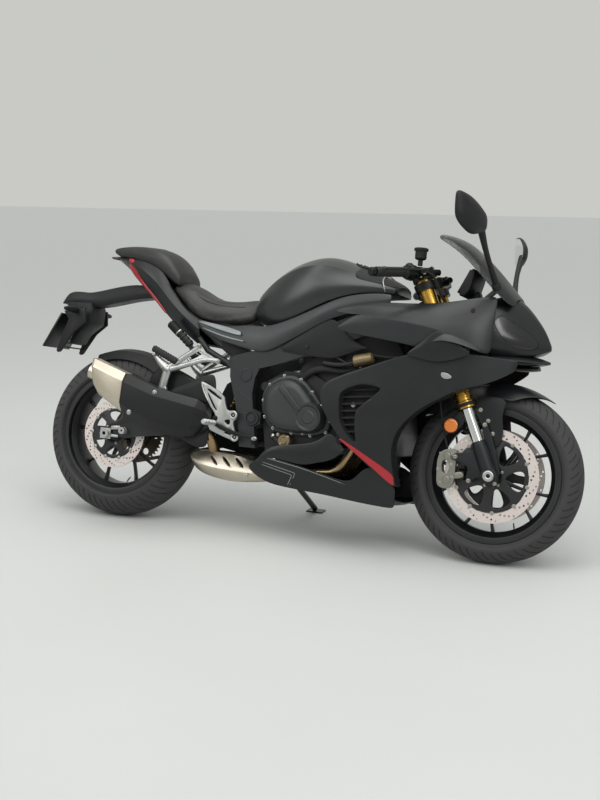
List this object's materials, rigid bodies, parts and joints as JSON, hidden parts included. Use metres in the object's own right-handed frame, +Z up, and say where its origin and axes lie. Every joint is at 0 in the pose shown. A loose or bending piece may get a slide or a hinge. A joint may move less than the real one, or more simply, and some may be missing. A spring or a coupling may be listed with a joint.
{
  "type": "sport motorcycle",
  "caption": "Fully faired sport motorcycle leaning on its side stand, with wheels that turn, a fork that steers and a stand that folds.",
  "frame": {"origin": "middle of the overall box, on the floor it stands on", "axes": "+X forward along the length, +Y to the rider's left, +Z up; the bike leans 11.2 degrees to its left on the side stand, with the fork turned 2.3 degrees left"},
  "size_m": [2.1659, 0.9325, 1.2391],
  "materials": {
    "tank_paint": "satin",
    "body_plastic": "satin",
    "graphite_plastic": "matte",
    "trim_plastic": "textured matte",
    "rim_paint": "satin",
    "tyre_rubber": "matte",
    "grip_rubber": "ribbed",
    "disc_steel": "ground",
    "sprocket_steel": "black",
    "chain_steel": "plain",
    "gold_anodised": "anodised",
    "fork_casting": "painted",
    "clamp_alloy": "painted",
    "bare_alloy": "cast",
    "axle_steel": "turned",
    "caliper_paint": "satin",
    "frame_paint": "satin",
    "engine_paint": "satin",
    "header_steel": "heat tinted",
    "titanium": "brushed",
    "muffler_paint": "satin",
    "radiator_core": "finned",
    "seat_cover": "grained",
    "lamp_red": "smoked",
    "lens_smoke": "smoked",
    "screen_smoke": "smoked"
  },
  "bodies": {
    "chassis": {"belly_pan": "body_plastic", "collector_box": "titanium", "drive_chain": "chain_steel", "duct_panels": "graphite_plastic", "engine_block": "engine_paint", "engine_covers": "engine_paint", "exhaust_headers": "header_steel", "fairing_stay": "frame_paint", "fuel_tank": "tank_paint", "headlight_lenses": "lens_smoke", "instrument_cluster": "trim_plastic", "main_frame": "frame_paint", "mirrors": "trim_plastic", "muffler_can": "titanium", "muffler_shield": "muffler_paint", "nose_cowl": "body_plastic", "nose_splitter": "graphite_plastic", "pillion_hangers": "bare_alloy", "pillion_seat": "seat_cover", "plate_holder": "trim_plastic", "radiator": "radiator_core", "rear_axle": "axle_steel", "rear_caliper": "caliper_paint", "rear_hugger": "trim_plastic", "rear_indicators": "trim_plastic", "rearsets": "bare_alloy", "rider_seat": "seat_cover", "shock_absorber": "gold_anodised", "shoulder_panels": "graphite_plastic", "side_covers": "body_plastic", "side_fairings": "body_plastic", "stand_bosses": "bare_alloy", "stand_bracket": "frame_paint", "subframe": "frame_paint", "swingarm": "frame_paint", "tail_fairing": "body_plastic", "tail_light": "lamp_red", "upper_fairings": "body_plastic", "vent_inserts": "trim_plastic", "windscreen": "screen_smoke"},
    "steering": {"brake_hoses": "grip_rubber", "brake_reservoir": "trim_plastic", "clip_on_bars": "clamp_alloy", "fork_lowers": "fork_casting", "fork_tubes": "gold_anodised", "front_axle": "axle_steel", "front_calipers": "caliper_paint", "front_fender": "body_plastic", "grips": "grip_rubber", "hand_levers": "clamp_alloy", "steering_stem": "clamp_alloy", "top_yoke": "clamp_alloy"},
    "front_wheel": {"front_discs": "disc_steel", "front_rim": "rim_paint", "front_tyre": "tyre_rubber"},
    "rear_wheel": {"rear_disc": "disc_steel", "rear_rim": "rim_paint", "rear_sprocket": "sprocket_steel", "rear_tyre": "tyre_rubber"},
    "side_stand": {"side_stand": "frame_paint"}
  },
  "joints": [
    {"name": "steering", "type": "hinge", "parent": "chassis", "child": "steering", "pos_m": [0.59876, -0.09379, 0.62809], "axis": [-0.4061, 0.1774, 0.8965], "range_deg": [-29.3, 24.7]},
    {"name": "front_wheel_spin", "type": "hinge", "parent": "steering", "child": "front_wheel", "pos_m": [0.7832, -0.15852, 0.29469], "axis": [-0.0368, 0.977, -0.2101], "continuous": true},
    {"name": "rear_wheel_spin", "type": "hinge", "parent": "chassis", "child": "rear_wheel", "pos_m": [-0.6771, -0.15682, 0.31075], "axis": [-0.0001, 0.981, -0.1942], "continuous": true},
    {"name": "side_stand_fold", "type": "hinge", "parent": "chassis", "child": "side_stand", "pos_m": [-0.00686, -0.08343, 0.18664], "axis": [-0.1001, 0.6192, 0.7788], "range_deg": [0, 82]}
  ]
}
